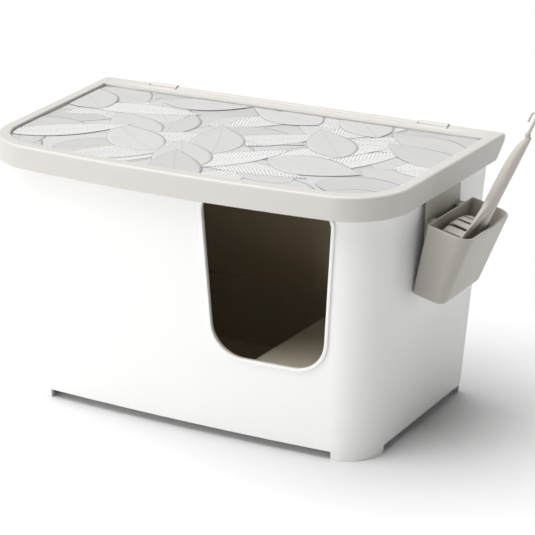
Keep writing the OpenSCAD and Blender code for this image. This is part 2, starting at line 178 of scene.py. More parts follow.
def lamp(name, at, towards, size, power):
    """A rectangular soft lamp at one point, turned towards another."""
    light = bpy.data.lights.new(name, "AREA")
    light.shape = "RECTANGLE"
    light.size, light.size_y = size
    light.energy = power
    thing = bpy.data.objects.new(name, light)
    turn = (Vector(towards) - Vector(at)).to_track_quat("-Z", "Y")
    thing.matrix_world = Matrix.LocRotScale(Vector(at), turn, None)
    scene.collection.objects.link(thing)


world = bpy.data.worlds.new("studio")
world.use_nodes = True
world.node_tree.nodes["Background"].inputs["Color"].default_value = (1.0, 1.0, 1.0, 1)
world.node_tree.nodes["Background"].inputs["Strength"].default_value = 0.04
scene.world = world
scene.view_settings.view_transform = "Standard"
lamp("key", (-2.3, -2.5, 1.2), (0, 0, 0.18), (2.0, 1.8), 42)
lamp("front", (-0.8, -3.0, 0.35), (0, 0, 0.2), (1.8, 0.7), 17)
lamp("side", (3.0, 0.9, 0.9), (0.2, 0, 0.2), (1.6, 1.6), 10)
overhead = bpy.data.lights.new("overhead", "SUN")
overhead.energy = 4.05
overhead.angle = radians(60)
sky = bpy.data.objects.new("overhead", overhead)
sky_turn = Vector((0.28, 0.12, -1)).to_track_quat("-Z", "Y")
sky.matrix_world = Matrix.LocRotScale(Vector((0, 0, 3)), sky_turn, None)
scene.collection.objects.link(sky)

floor_front, bend_y, bend_radius, back_wall_top = -8.0, 4.0, 2.0, 7.0
bend = np.linspace(0.05, pi / 2, 16)
bend_points = np.column_stack([bend_y + bend_radius * np.sin(bend), bend_radius * (1 - np.cos(bend))])
sweep = np.concatenate([[[floor_front, 0.0], [bend_y, 0.0]], bend_points,
                        [[bend_y + bend_radius, back_wall_top]]])
floor_x = np.linspace(-9.0, 9.0, 3)
floor_grid = np.stack([np.repeat(floor_x[None], len(sweep), 0), np.repeat(sweep[:, :1], 3, 1),
                       np.repeat(sweep[:, 1:], 3, 1)], -1)
paper = Finish("studio_paper")
paper_light, paper_dark = (0.72, 0.72, 0.72, 1), (0.705, 0.705, 0.705, 1)
paper.feed(Base_Color=paper.mix(paper.noise(3.0), paper_light, paper_dark),
           Roughness=paper.noise(5.0) * 0.1 + 0.8)
piece("studio_floor", [(floor_grid, False)], paper.material)

# ---------------------------------------------------------------------------
# Body: one white polypropylene moulding, with four tapering walls and a floor on corner feet.
# The doorway in its front wall has a raised rounded lip. A seat is cut in the right wall's
# top edge for the scoop holder's hook.

splay_turn = radians(3.3)
splay = tan(splay_turn)
lid_half = 0.275457
skirt_gap = 0.0095
side_taper = 0.021
body_rear, rear_taper = 0.144, 0.0075
body_front, front_taper = -0.1525, 0.026
body_top = 0.330
wall_thick = 0.0025
edge_round = 0.0012
floor_low, floor_top = 0.011, 0.0135
strip_left, strip_right = 0.026, 0.215
seat_front, seat_rear, seat_depth = -0.0415, 0.0525, 0.009
tiny = 0.0001
join_turn = radians(84.7)
mirror = np.array([-1, 1])


def moulded(name, light, dark, roughness, grain=900.0, depth=0.00008):
    """Injection-moulded plastic: faint clouding of its colour, soft patches of differing gloss
    where it flowed in the mould, and a fine pebbled skin."""
    finish = Finish(name)
    cloud = finish.noise(7.0)
    finish.feed(Base_Color=finish.mix(cloud, (*light, 1), (*dark, 1)),
                Roughness=finish.noise(18.0) * 0.12 + (roughness - 0.06))
    finish.bump(finish.noise(grain, 2.0) + finish.noise(26.0) * 3.0, 0.25, depth)
    return finish.material


def joined(*columns):
    """Points from their coordinates. One that is a single number is the same for all."""
    return np.stack(np.broadcast_arrays(*columns), -1)


def arc(x, y, radius, start, stop, count):
    """Points (x, y) + radius (cos a, sin a), with a running evenly from start to stop."""
    a = np.linspace(start, stop, count)
    return joined(x + radius * np.cos(a), y + radius * np.sin(a))


def side_at(z):
    """The body's half width at mid depth and height z, which tapers evenly down to the floor."""
    return lid_half - skirt_gap - side_taper * (1 - z / body_top)


def level(z, inset):
    """Half width at mid depth, rear, front, bow, corner radii of the body at height z."""
    rise = z / body_top
    rear = body_rear - rear_taper * (1 - rise) - inset
    front = body_front + front_taper * (1 - rise) + inset
    crown = 0.005 + 0.004 * rise
    radius = 0.050 + 0.0165 * rise - inset
    return side_at(z) - inset, rear, front, crown, radius, np.maximum(0.008 - inset, 0.0015)


def corner_x(half, front, radius):
    """Where the front corner's arc has its centre, so that it touches the splayed side."""
    return half + (front + radius) * splay - radius / cos(splay_turn)


def rear_corner_x(half, rear, radius):
    """Where the rear corner's arc has its centre, so that it touches the splayed side."""
    return half + (rear - radius) * splay - radius / cos(splay_turn)


def front_at(x, z, inset):
    """Depth of the front wall at x and z: a bow y = front - crown (1 - (x / join) ** 2), which
    runs at its join into the corner's arc y = middle - sqrt(radius ** 2 - (x - centre) ** 2)."""
    half, _, front, crown, radius, _ = level(z, inset)
    centre = corner_x(half, front, radius)
    join = centre + radius * cos(join_turn)
    drop = radius * (1 - sin(join_turn))
    bow = front + drop - (crown + drop) * (1 - (x / join) ** 2)
    past = np.clip(np.abs(x) - centre, 0, radius * 0.9999)
    corner = front + radius - np.sqrt(radius ** 2 - past ** 2)
    return np.where(np.abs(x) < join, bow, corner)


def round_the_back(z, inset):
    """The body's outline at one height from strip_right round the right side, the rear and
    the left side to strip_left: (points, 2)."""
    half, rear_y, front, _, radius, rear_radius = level(z, inset)
    centre = corner_x(half, front, radius)
    first_turn = np.arccos((strip_right - centre) / radius)
    right = arc(centre, front + radius, radius, -first_turn, -splay_turn, 14)
    seat_y = np.array([seat_front - tiny, seat_front, seat_rear, seat_rear + tiny])
    seat = joined(half + seat_y * splay, seat_y)
    rear_x = rear_corner_x(half, rear_y, rear_radius)
    rear = np.concatenate([arc(rear_x, rear_y - rear_radius, rear_radius, -splay_turn, pi / 2, 8),
                           joined(np.linspace(rear_x, 0, 6)[1:], rear_y)])
    left = arc(centre, front + radius, radius, -splay_turn, -join_turn, 16) * mirror
    bow_x = np.linspace(-centre - radius * cos(join_turn), strip_left, 18)[1:]
    bow = joined(bow_x, front_at(bow_x, z, inset))
    return np.concatenate([right, seat, rear, rear[-2::-1] * mirror, left, bow])


def doorway(grow):
    """Doorway outline in x and z, grown by a distance, in four runs (bottom, right, top, left)
    that change over in the middle of each corner's arc."""
    low, high = 0.040 + grow, 0.007 + grow
    left, right = 0.0395 - grow, 0.1995 + grow
    sill, head = 0.113 - grow, 0.306 + grow
    corners = [(left + 0.005 + low, sill + low, low, 180), (right - 0.011 - low, sill + low, low, 270),
               (right - high, head - high, high, 0), (left + high, head - high, high, 90)]
    arcs = [arc(x, z, r, radians(start), radians(start + 90), 17) for x, z, r, start in corners]
    return [np.concatenate([arcs[i][8:], arcs[(i + 1) % 4][:9]]) for i in range(4)]


def along(points, count):
    """The same open run of points, spaced evenly along its length."""
    gone = np.concatenate([[0], np.cumsum(np.hypot(*np.diff(points, axis=0).T))])
    want = np.linspace(0, gone[-1], count)
    return joined(np.interp(want, gone, points[:, 0]), np.interp(want, gone, points[:, 1]))


def placed(points):
    """Points measured from the lid's middle, moved to where the box stands."""
    return points + np.array([mid_x, mid_y, 0.0])


# The strip of the front wall that holds the doorway: rings from the wall's edge to the lip,
# over the lip, through the wall and back out over the inside.
rows_z = np.linspace(floor_low, body_top - edge_round, 30)
frame_low = 0.060
frame_z = np.concatenate([[frame_low], rows_z[rows_z > frame_low + 0.001]])
strip_x = np.linspace(strip_left, strip_right, 44)
rect = [joined(strip_x, frame_z[0]), joined(strip_right, frame_z),
        joined(strip_x[::-1], frame_z[-1]), joined(strip_left, frame_z[::-1])]
rect_loop = np.concatenate([edge[:-1] for edge in rect])


def door_loop(grow):
    """The doorway's outline as a ring with as many points on each side as the strip's edge."""
    return np.concatenate([along(run, len(edge))[:-1] for run, edge in zip(doorway(grow), rect)])


lip_foot, inner_edge = door_loop(0.0057), door_loop(0.0008)
# Each row of the lip: distance out from the doorway's edge and forward from the wall, in mm.
lip_rows = [(5.0, 0.15), (4.7, 0.6), (4.6, 1.2), (4.3, 1.8), (3.7, 2.15), (2.9, 2.2), (1.4, 2.2),
            (0.7, 2.1), (0.2, 1.6), (0.0, 1.0), (0.0, -1.6), (0.2, -2.2), (0.8, -2.5)]
rings = [(rect_loop + (lip_foot - rect_loop) * step, 0.0) for step in np.linspace(0, 1, 9)]
rings += [(door_loop(grow / 1000), -out / 1000) for grow, out in lip_rows]
rings += [(inner_edge + (rect_loop - inner_edge) * step, wall_thick) for step in np.linspace(0, 1, 6)[1:]]
door_ring = np.array([joined(flat[:, 0], front_at(flat[:, 0], flat[:, 1], inset), flat[:, 1])
                      for flat, inset in rings])

# Everything else is one profile (height, inset) carried round: outside, rounded top edge, inside.
inside_low = floor_top + 0.004
edge_z, edge_in = body_top - edge_round, wall_thick - edge_round
profile = [(z, 0.0) for z in rows_z]
profile += [(edge_z + edge_round * sin(a), edge_round * (1 - cos(a))) for a in np.linspace(0.4, pi / 2, 4)]
profile += [(edge_z + edge_round * cos(a), edge_in + edge_round * sin(a))
            for a in np.linspace(0, pi / 2 - 0.4, 4)]
profile += [(z, wall_thick) for z in rows_z[::-1] if z > inside_low]


def wall_row(z, inset):
    """A row of the wall round the back, held down to the seat's bottom where the hook hangs."""
    x, y = round_the_back(z, inset).T
    in_seat = (x > 0.2) & (y > seat_front - tiny / 2) & (y < seat_rear + tiny / 2)
    return joined(x, y, np.where(in_seat, min(z, body_top - seat_depth), z))


def strip(levels):
    """The strip's rows below or above the doorway's frame."""
    return np.array([joined(strip_x, front_at(strip_x, z, inset), z) for z, inset in levels])


def whole(z, inset):
    """Closed outline at one height, the strip's points first."""
    front = joined(strip_x, front_at(strip_x, z, inset))
    return np.concatenate([front[:-1], round_the_back(z, inset)[:-1]])


def closed(rows):
    """Rows of an outline, closed with a point in the middle."""
    last = rows[-1]
    middle = np.tile([0.0, 0.0, last[0, 2]], (len(last), 1))
    return np.array(list(rows) + [last * 0.5 + middle * 0.5, middle])


wall = np.array([wall_row(z, inset) for z, inset in profile])
below_out = strip([(z, 0.0) for z in rows_z[rows_z < frame_low]] + [(frame_low, 0.0)])
over_top = strip([(z, inset) for z, inset in profile if z >= frame_z[-1] - 1e-9])
below_in = strip([(frame_low, wall_thick)]
                 + [(z, wall_thick) for z in rows_z[::-1] if inside_low < z < frame_low])
inside_levels = ((rows_z[rows_z > inside_low][0], wall_thick), (floor_top + 0.001, 0.0029),
                 (floor_top, 0.0042))
inside = closed([joined(*whole(z, inset).T, z) for z, inset in inside_levels])
under = closed([joined(*whole(floor_low, inset).T, floor_low) for inset in (0.0, 0.007)])

# Feet: the wall's own outline carried down at each corner, six millimetres thick.
foot_x, foot_front, foot_rear, foot_thick = 0.193, -0.0665, 0.0905, 0.006
foot_top = floor_low + 0.001
foot_rows = [(whole(floor_low, 0.0004), foot_top), (whole(0.0, 0.0006), 0.0006), (whole(0.0, 0.0012), 0.0),
             (whole(0.0, foot_thick), 0.0), (whole(floor_low, foot_thick), foot_top)]
foot_rows.append(foot_rows[0])
outer = foot_rows[0][0]
feet = []
for right_side, front_side in ((True, True), (True, False), (False, False), (False, True)):
    keep = (outer[:, 0] > foot_x) if right_side else (outer[:, 0] < -foot_x)
    keep &= (outer[:, 1] < foot_front) if front_side else (outer[:, 1] > foot_rear)
    foot = np.array([joined(*points[keep].T, z) for points, z in foot_rows])
    feet.append((foot, False))
    for end in (0, -1):
        edge = foot[:-1, end]
        feet.append((np.array([edge, np.tile(edge.mean(0), (len(edge), 1))]), True))

white = moulded("white_plastic", (0.85, 0.85, 0.838), (0.83, 0.83, 0.818), 0.42)
body_grids = [(wall, False), (door_ring, True), (below_out, False), (over_top, False),
              (below_in, False), (inside, True), (under, True)] + feet
body = piece("body_walls", [(placed(points), wrap) for points, wrap in body_grids], white)
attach(body, "box_body")
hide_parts("body_shell")

# ---------------------------------------------------------------------------
# Lid: a warm light-grey moulding with a soft-edged rim, a skirt all round and three low steps
# along its rear. Its rear edge is notched for the two hinge knuckles, and short barrels on
# each side of a notch hold the pin.

lid_top = 0.338
lid_roof = 0.3355
skirt_low = 0.3090
rim_round = 0.0030
slot_in, slot_out, slot_depth = 0.1715, 0.2125, 0.1529
slant_y, slant_z = [0.1385, 0.1645, 0.1656], [0.309, 0.332, 0.3318]
knuckle_x, pin_y, pin_z = 0.192, 0.161, 0.3345


def lid_outline(side, front_in, rear_in):
    """Lid's outline, moved in by three distances: bowed front y = front - crown (1 - t ** 2),
    arcs at the corners, straight splayed sides and a straight rear. Sides in even steps."""
    half = lid_half - side
    rear_y = lid_half_depth - rear_in
    front = -lid_half_depth + front_in
    radius = 0.076 - (side + front_in) / 2
    rear_radius = max(0.004 - side, 0.002)
    centre = corner_x(half, front, radius)
    crown = 0.009
    corner = arc(centre, front + radius, radius, 2 * crown / centre - pi / 2, -splay_turn, 22)
    join_x, join_y = corner[0]
    bow_x = np.linspace(-join_x, join_x, 41)
    bow = joined(bow_x, join_y - (join_y - front + crown) * (1 - (bow_x / join_x) ** 2))
    rear_x = rear_corner_x(half, rear_y, rear_radius)
    rear = arc(rear_x, rear_y - rear_radius, rear_radius, -splay_turn, pi / 2, 7)
    slant_start = min(slant_y[0], rear[0, 1] - 0.012)
    side_y = np.concatenate([np.linspace(corner[-1, 1], slant_start, 9)[1:],
                             np.linspace(slant_start, rear[0, 1], 6)[1:-1]])
    notch_x = np.minimum([slot_out + tiny, slot_out, slot_in, slot_in - tiny], rear_x - tiny)
    rear_line = joined(np.concatenate([notch_x, np.linspace(slot_in, 0, 8)[1:]]), rear_y)
    right = np.concatenate([corner[1:], joined(half + side_y * splay, side_y), rear, rear_line])
    return np.concatenate([bow, right, right[-2:0:-1] * mirror])


def lid_row(side, front_in, rear_in, z, sunk=0.0):
    """One row of the lid: its skirt ends on a slant near the rear, a step sinks it along the
    rear only, and points inside a knuckle's notch move to the notch's face."""
    x, y = lid_outline(side, front_in, rear_in).T
    heights = np.maximum(z, np.interp(y, slant_y, slant_z))
    notch = (np.abs(x) > slot_in - tiny / 2) & (np.abs(x) < slot_out + tiny / 2) & (y > slot_depth)
    on_rear = (y > lid_half_depth - rear_in - 1e-6) & (np.abs(x) < 0.262)
    heights = heights - sunk * (on_rear & ~notch)
    heights[notch] = np.maximum(heights[notch], lid_roof)
    return joined(x, np.where(notch, slot_depth, y), heights)


def recess_row(inward, z, sunk=0.0):
    """A row that follows the recess's edge, moved inward from the top of its rounding."""
    return lid_row(0.0136 + inward, 0.0156 + inward, 0.0306 + inward, z, sunk)


rim = [(0.0012 * (1 - step), skirt_low + 0.0009 * step) for step in (0, 0.5, 1)]
rim += [(0.0, z) for z in np.linspace(0.3110, 0.3345, 7)]
rim += [(rim_round * (1 - cos(a)), lid_top - rim_round + rim_round * sin(a))
        for a in np.linspace(0.15, pi / 2, 8)]
lid_rows = [lid_row(inset, inset, inset, z) for inset, z in rim]
# Steps along the rear: distance in from it (mm), share of the other sides' rim crossed, sinking (mm).
rear_steps = [(3.4, 0.2, 0), (3.8, 0.4, 0), (4.2, 0.6, 0), (4.6, 0.8, 0), (5.0, 1, 0), (8.0, 1, 0),
              (8.6, 1, 0.5), (9.0, 1, 1.0), (17.5, 1, 1.0), (18.2, 1, 1.4), (18.6, 1, 2.2),
              (27.0, 1, 2.2), (30.6, 1, 2.2)]
for rear_in, share, sunk in rear_steps:
    side_in, front_in = rim_round + share * 0.0106, rim_round + share * 0.0126
    lid_rows.append(lid_row(side_in, front_in, rear_in / 1000, lid_top, sunk / 1000))
recess_round = 0.0014
for turn in np.linspace(0.3, pi / 2, 4):
    lid_rows.append(recess_row(recess_round * sin(turn), lid_top - recess_round * (1 - cos(turn)),
                               0.0022 * (1 - turn / 2)))
recess_low = 0.3330
lid_rows += [recess_row(0.0014, 0.3345), recess_row(0.0016, 0.3332), recess_row(0.0022, recess_low),
             lid_row(0.030, 0.032, 0.045, recess_low)]
lid_under = [lid_row(0.0012, 0.0012, 0.0012, skirt_low), lid_row(0.0024, 0.0024, 0.0024, 0.3093)]
lid_under += [lid_row(0.0025, 0.0025, 0.0025, z) for z in np.linspace(0.312, lid_roof, 6)]
lid_under += [lid_row(0.0085, 0.0085, 0.0225, lid_roof), lid_row(0.0085, 0.0085, 0.0225, 0.3305),
              lid_row(0.030, 0.030, 0.045, 0.3305)]


def capped(rings):
    """Rings of points (rings, points, 3), closed at both ends with each end's own middle."""
    middles = np.broadcast_to(rings.mean(1, keepdims=True), rings.shape)
    return np.concatenate([middles[:1], rings, middles[-1:]])


def tube(path, radii, segments=28):
    """Round bar along a path: rings of points centre + radius (cos a side + sin a up) square
    to the path's direction, closed at both ends."""
    path, radii = np.asarray(path, float), np.asarray(radii, float)
    ahead = np.gradient(path, axis=0)
    ahead /= np.linalg.norm(ahead, axis=1)[:, None]
    reference = np.array([0.0, 1.0, 0.0]) if abs(ahead[0, 1]) < 0.7 else np.array([0.0, 0.0, 1.0])
    side = np.cross(ahead, reference)
    side /= np.linalg.norm(side, axis=1)[:, None]
    up = np.cross(side, ahead)
    a = np.linspace(0, 2 * pi, segments, endpoint=False)[None, :, None]
    around = np.cos(a) * side[:, None] + np.sin(a) * up[:, None]
    return capped(path[:, None] + radii[:, None, None] * around)


barrels = []
for middle in (-knuckle_x, knuckle_x):
    for way in (-1, 1):
        near, far = middle + way * 0.0205, middle + way * 0.0380
        barrel_x = np.array([near, near + way * 0.0004, far - way * 0.0004, far])
        barrels.append((tube(joined(barrel_x, pin_y, pin_z), [0.0036, 0.0040, 0.0040, 0.0036]), True))

warm_grey = moulded("grey_plastic", (0.585, 0.565, 0.535), (0.56, 0.54, 0.51), 0.40)
lid_grids = [(closed(lid_rows), True), (closed(lid_under), True)] + barrels
lid = piece("lid_moulding", [(placed(points), wrap) for points, wrap in lid_grids], warm_grey, 40.0)
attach(lid, "lid")
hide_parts("lid_frame")

# ---------------------------------------------------------------------------
# Scoop holder: a taupe cup that tapers down, leaning out from the wall, moulded in one with a
# hanger. The hanger's plate hooks over the body's top edge, and a web and a rib join each of
# its ends to the cup.

cup_top, cup_high, cup_lean, hang_y = 0.284, 0.093, radians(12.5), 0.006
cup_foot = side_at(cup_top - cup_high * cos(cup_lean)) + hang_y * splay + 0.0008
cup_back = cup_foot + cup_high * sin(cup_lean)
cup_frame = (Matrix.Translation((cup_back, hang_y, cup_top)) @ Matrix.Rotation(-splay_turn, 4, "Z")
             @ Matrix.Rotation(cup_lean, 4, "Y"))
wall_x = side_at(0) + hang_y * splay
wall_frame = Matrix.Translation((wall_x, hang_y, 0)) @ Matrix.Rotation(-splay_turn, 4, "Z")


def moved(points, matrix):
    """Points carried from a piece's own frame to the box's."""
    matrix = np.array(matrix)
    return points @ matrix[:3, :3].T + matrix[:3, 3]


def cup_row(share, inset, z):
    """Outline of the cup: share 0 at its rim and 1 at its foot; nearly square at the back and
    round outside, as four arcs joined by straight runs."""
    deep = 0.054 - 0.014 * share
    outer = max(deep * 0.3 - inset, 0.002)
    inner = max(0.0035 - inset, 0.0012)
    half = (0.123 - 0.015 * share) / 2 - inset
    inner_x, outer_x = inset + inner, deep - inset - outer
    corners = ((inner_x, -half + inner, inner, 180), (outer_x, -half + outer, outer, 270),
               (outer_x, half - outer, outer, 0), (inner_x, half - inner, inner, 90))
    arcs = [arc(x, y, r, radians(start), radians(start + 90), 13) for x, y, r, start in corners]
    return joined(*np.concatenate(arcs).T, z)


cup_low = -0.088
cup_rows = [cup_row(1, 0.006, -cup_high), cup_row(1, 0.0026, -cup_high + 0.0003),
            cup_row(1, 0.0008, -cup_high + 0.0014), cup_row(0.985, 0, -cup_high + 0.0032)]
cup_rows += [cup_row(-z / cup_high, 0, z) for z in np.linspace(cup_low, -0.0010, 14)]
cup_rows += [cup_row(0, 0.0003, -0.0003), cup_row(0, 0.0009, 0.0), cup_row(0, 0.0014, 0.0),
             cup_row(0, 0.0020, -0.0003)]
cup_rows += [cup_row(-z / cup_high, 0.0022, z) for z in np.linspace(-0.0012, cup_low, 14)]
cup_rows += [cup_row(1, 0.0035, -cup_high + 0.0026), cup_row(1, 0.0075, -cup_high + 0.0022)]


def bar(corners, y0, y1, ease=0.0004):
    """Bar of a four-sided section in x and z, from y0 to y1 with eased ends and edges: the
    section is shrunk towards its middle over the first and last of its length."""
    corners = np.array(corners, float)
    centre = corners.mean(0)
    section = []
    for i in range(4):
        for neighbour in (corners[i - 1], corners[(i + 1) % 4]):
            way = neighbour - corners[i]
            section.append(corners[i] + way / np.linalg.norm(way) * ease)
    section = np.array(section)
    small = centre + (section - centre) * (1 - ease / np.abs(section - centre).max())
    point = np.tile(centre, (8, 1))
    rows = [(point, y0), (small, y0), (section, y0 + ease), (section, y1 - ease), (small, y1), (point, y1)]
    return np.array([joined(points[:, 0], y, points[:, 1]) for points, y in rows])


def box_section(x0, x1, z0, z1):
    """Corners of an upright rectangle, for bar."""
    return [(x0, z0), (x1, z0), (x1, z1), (x0, z1)]


seat_z = 0.3212
thick = 0.0022
plate_low, shelf, hanger_half, web_wide = 0.258, 0.2825, 0.045, 0.015
plate_x = side_at(seat_z) + 0.003 - side_at(0)
plate_out = plate_x + thick
hook_x = plate_x - 0.003 - 0.0029
hook_out = hook_x - thick
web_end = cup_back - wall_x
web_x = plate_x + 0.001
rib = [(web_x, plate_low), (web_end - 0.0042, plate_low), (web_end + 0.0005, shelf), (web_x, shelf)]
holder_bars = [bar(section, -hanger_half, hanger_half) for section in (
    box_section(plate_x, plate_out, plate_low, seat_z + thick),
    box_section(hook_out, plate_out, seat_z, seat_z + thick),
    box_section(hook_out, hook_x, seat_z - 0.005, seat_z + thick))]
for way in (-1, 1):
    web_ends = sorted((way * hanger_half, way * (hanger_half - web_wide)))
    holder_bars.append(bar(box_section(web_x, web_end + 0.001, shelf - thick, shelf), *web_ends))
    rib_ends = sorted((way * hanger_half, way * (hanger_half - thick)))
    holder_bars.append(bar(rib, *rib_ends))

holder_taupe = moulded("holder_plastic", (0.43, 0.405, 0.36), (0.40, 0.38, 0.34), 0.36)
holder_grids = [moved(capped(np.array(cup_rows)), cup_frame)]
holder_grids += [moved(points, wall_frame) for points in holder_bars]
holder = piece("holder_cup", [(placed(points), True) for points in holder_grids], holder_taupe)
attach(holder, "holder")
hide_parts("scoop_holder")

# ---------------------------------------------------------------------------
# Scoop: one taupe moulding standing head down in its cup. The head is a slotted sheet with a
# domed heel and two side walls. A flaring web carries the long round handle, which thins to a
# neck with a collar, a thin stem and an open hook.

scoop_sunk = 0.006
scoop_frame = cup_frame @ Matrix.Translation((0, 0, -scoop_sunk))
handle_frame = (scoop_frame @ Matrix.Translation((0.036, 0, 0))
                @ Matrix.Rotation(radians(11.2), 4, "Y"))
head_thick, head_half, dome_rise = 0.0022, 0.046, 0.011
dome = (head_half ** 2 + dome_rise ** 2) / (2 * dome_rise)
tip_z = thick + 0.0002 + scoop_sunk - cup_high
back_x, back_lean, heel_x, heel_bend = 0.009, 0.003 / 0.0756, 0.036, 0.009


def drop_at(y):
    """How far the heel's dome has come down at y: dome - sqrt(dome ** 2 - y ** 2)."""
    return dome - np.sqrt(dome ** 2 - y ** 2)


def sheet_path(y, inset):
    """Section of the head's sheet at y: up the back, round a bend and out along the heel,
    which is lower towards its ends by drop_at(y)."""
    top = -drop_at(min(abs(y), head_half - tiny))
    back_z = np.linspace(tip_z + 0.016, top - heel_bend - 0.001, 14)
    back = joined(back_x + inset - back_lean * (back_z - tip_z), back_z)
    bend = arc(back_x + 0.006, top - heel_bend, heel_bend - inset, pi, pi / 2, 10)
    return np.concatenate([back, bend, joined(np.linspace(0.017, heel_x, 8), top - inset)])


def slat(y0, y1, ease=0.0004):
    """One bar of the sheet from y0 to y1, its edges eased: a closed band along sheet_path."""
    ys = np.concatenate([[y0, y0 + ease], np.linspace(y0 + ease, y1 - ease, 6)[1:-1], [y1 - ease, y1]])
    insets = np.concatenate([[ease], np.zeros(len(ys) - 2), [ease]])
    upper = [(y, sheet_path(y, inset)) for y, inset in zip(ys, insets)]
    lower = [(y, sheet_path(y, head_thick - inset)) for y, inset in zip(ys[::-1], insets[::-1])]
    return capped(np.stack([joined(path[:, 0], y, path[:, 1]) for y, path in upper + lower], 1))


slat_edges = [-0.046, -0.038, -0.032, -0.0205, -0.0145, -0.003, 0.003, 0.0145, 0.0205, 0.032, 0.038, 0.046]
head = [slat(y0, y1) for y0, y1 in zip(slat_edges[::2], slat_edges[1::2])]

lip_y = np.linspace(tiny - head_half, head_half - tiny, 33)[:, None]
lip_x = np.array([0.0330, 0.0330, 0.0334, 0.0354, 0.0360, 0.0360, 0.0354, 0.0336])
lip_z = np.array([-0.0022, -0.0004, 0.0, 0.0, -0.0006, -0.0024, -0.0030, -0.0030])
head.append(capped(joined(lip_x, lip_y, lip_z - drop_at(lip_y))))

low_z = np.linspace(tip_z, tip_z + 0.017, 12)[:, None]
low_half = 0.032 + 0.014 * np.sqrt(np.linspace(0, 1, 12))[:, None]
low_x = back_x + np.array([0, 0, head_thick, head_thick])
head.append(capped(joined(low_x, low_half * np.array([-1, 1, 1, -1]), low_z)))

cheek_z = np.linspace(tip_z + 0.004, -0.0115, 24)
cheek_back = back_x - back_lean * (cheek_z - tip_z) + np.maximum(0, cheek_z + 0.020) * 0.5
cheek_front = np.minimum(heel_x, 0.014 + 0.022 * (cheek_z - tip_z) / (-0.015 - tip_z))
cheek_eased = cheek_front - 0.0004
for way in (-1, 1):
    near_y, far_y = way * 0.0438, way * np.where(cheek_z < -0.013, head_half, 0.0455)
    cheek = [(cheek_back, near_y), (cheek_back, far_y), (cheek_eased, far_y),
             (cheek_front, (near_y + far_y) / 2), (cheek_eased, near_y)]
    head.append(capped(np.stack([joined(x, y, cheek_z) for x, y in cheek], 1)))

grip_radius, neck_radius, stem_x, hook_radius = 0.0078, 0.0026, 0.005, 0.0033
share = np.linspace(0, 1, 60)
grip_radii = grip_radius + (neck_radius - grip_radius) * share ** 7
grip = tube(joined(0.003 + grip_radius - grip_radii, 0.0, -0.001 + share * 0.131), grip_radii, 40)
collar = tube(joined(stem_x, 0.0, [0.1285, 0.129, 0.1325, 0.1330]), [0.0026, 0.0029, 0.0032, 0.0027])
hook_bend = arc(stem_x - hook_radius, 0.155, hook_radius, 0, pi, 20)
hook_path = np.concatenate([joined(stem_x, 0.0, np.linspace(0.130, 0.1545, 12)),
                            joined(hook_bend[:, 0], 0.0, hook_bend[:, 1]),
                            joined(stem_x - 2 * hook_radius, 0.0, [0.153, 0.149, 0.1456, 0.145])])
hook_radii = np.interp(np.arange(len(hook_path)), [0, 11, len(hook_path) - 1], [0.0021, 0.0015, 0.0013])
hook_radii[-1] = 0.0007
hook = tube(hook_path, hook_radii, 20)

# The web is a stack of ovals that narrow from the heel's width to the handle's own round.
rise = np.linspace(0, 1, 22)[:, None]
turn = np.linspace(0, 2 * pi, 48, endpoint=False)
web_half = 0.0076 + (0.0400 - 0.0076) * (1 - rise) ** 1.35
web_deep = 0.0018 + (0.0076 - 0.0018) * rise ** 0.8
web_y = web_half * np.sin(turn)
web = capped(joined(0.003 * rise + web_deep * np.cos(turn), web_y,
                    -0.0025 + 0.042 * rise - drop_at(web_y) * (1 - rise)))

scoop_taupe = moulded("scoop_plastic", (0.50, 0.47, 0.42), (0.475, 0.445, 0.40), 0.36)
scoop_grids = [moved(points, scoop_frame) for points in head]
scoop_grids += [moved(points, handle_frame) for points in (grip, collar, hook, web)]
scoop = piece("scoop_with_handle", [(placed(points), True) for points in scoop_grids], scoop_taupe)
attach(scoop, "loose_scoop")
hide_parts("scoop")

# ---------------------------------------------------------------------------
# Inner parts: three taupe vacuum-formed or moulded pieces. A lining clipped inside the walls,
# the litter tray on the floor and the entry platform on the tray's rim. Their edges are eased.


def eased(node, name, finish, body_name, width, low=None):
    """A CAD node's own surface, welded, with flat faces joined, shaded smooth and bevelled.
    Points below low[0] move to the height low[1]."""
    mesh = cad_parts[node].data.copy()
    mesh.name = name
    work = bmesh.new()
    work.from_mesh(mesh)
    bmesh.ops.remove_doubles(work, verts=work.verts, dist=1e-5)
    if low:
        for corner in [v for v in work.verts if v.co.z < low[0]]:
            corner.co.z = low[1]
    bmesh.ops.dissolve_limit(work, angle_limit=radians(0.6), verts=work.verts, edges=work.edges)
    work.to_mesh(mesh)
    work.free()
    mesh.shade_smooth()
    mesh.set_sharp_from_angle(angle=radians(35))
    mesh.materials.clear()
    mesh.materials.append(finish)
    thing = bpy.data.objects.new(name, mesh)
    scene.collection.objects.link(thing)
    bevel = thing.modifiers.new("eased_edges", "BEVEL")
    bevel.width = width
    bevel.segments = 2
    bevel.limit_method = "ANGLE"
    bevel.angle_limit = radians(40)
    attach(thing, body_name)
    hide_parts(node)


inner_taupe = moulded("taupe_plastic", (0.58, 0.52, 0.42), (0.55, 0.495, 0.40), 0.5)
# The lining is a paler taupe than the tray and platform. It has the inner parts' own taupe, and the extra
# paleness is painted light that brightens the dim inside of the box.
lining_taupe_painted_light = moulded("lining_plastic_painted_light", (0.70, 0.60, 0.46), (0.67, 0.575, 0.44), 0.5)
lining_lower = (0.1050, 0.0970)
eased("inner_lining", "lining_walls", lining_taupe_painted_light, "box_body", 0.0004, lining_lower)
eased("litter_tray", "tray_pan", inner_taupe, "tray", 0.0007)
eased("entry_platform", "platform_step", inner_taupe, "platform", 0.0006)

# ---------------------------------------------------------------------------
# Hinges: a plastic bracket on the body's rear wall for each knuckle, and a steel pin through
# the knuckle and the lid's barrels.

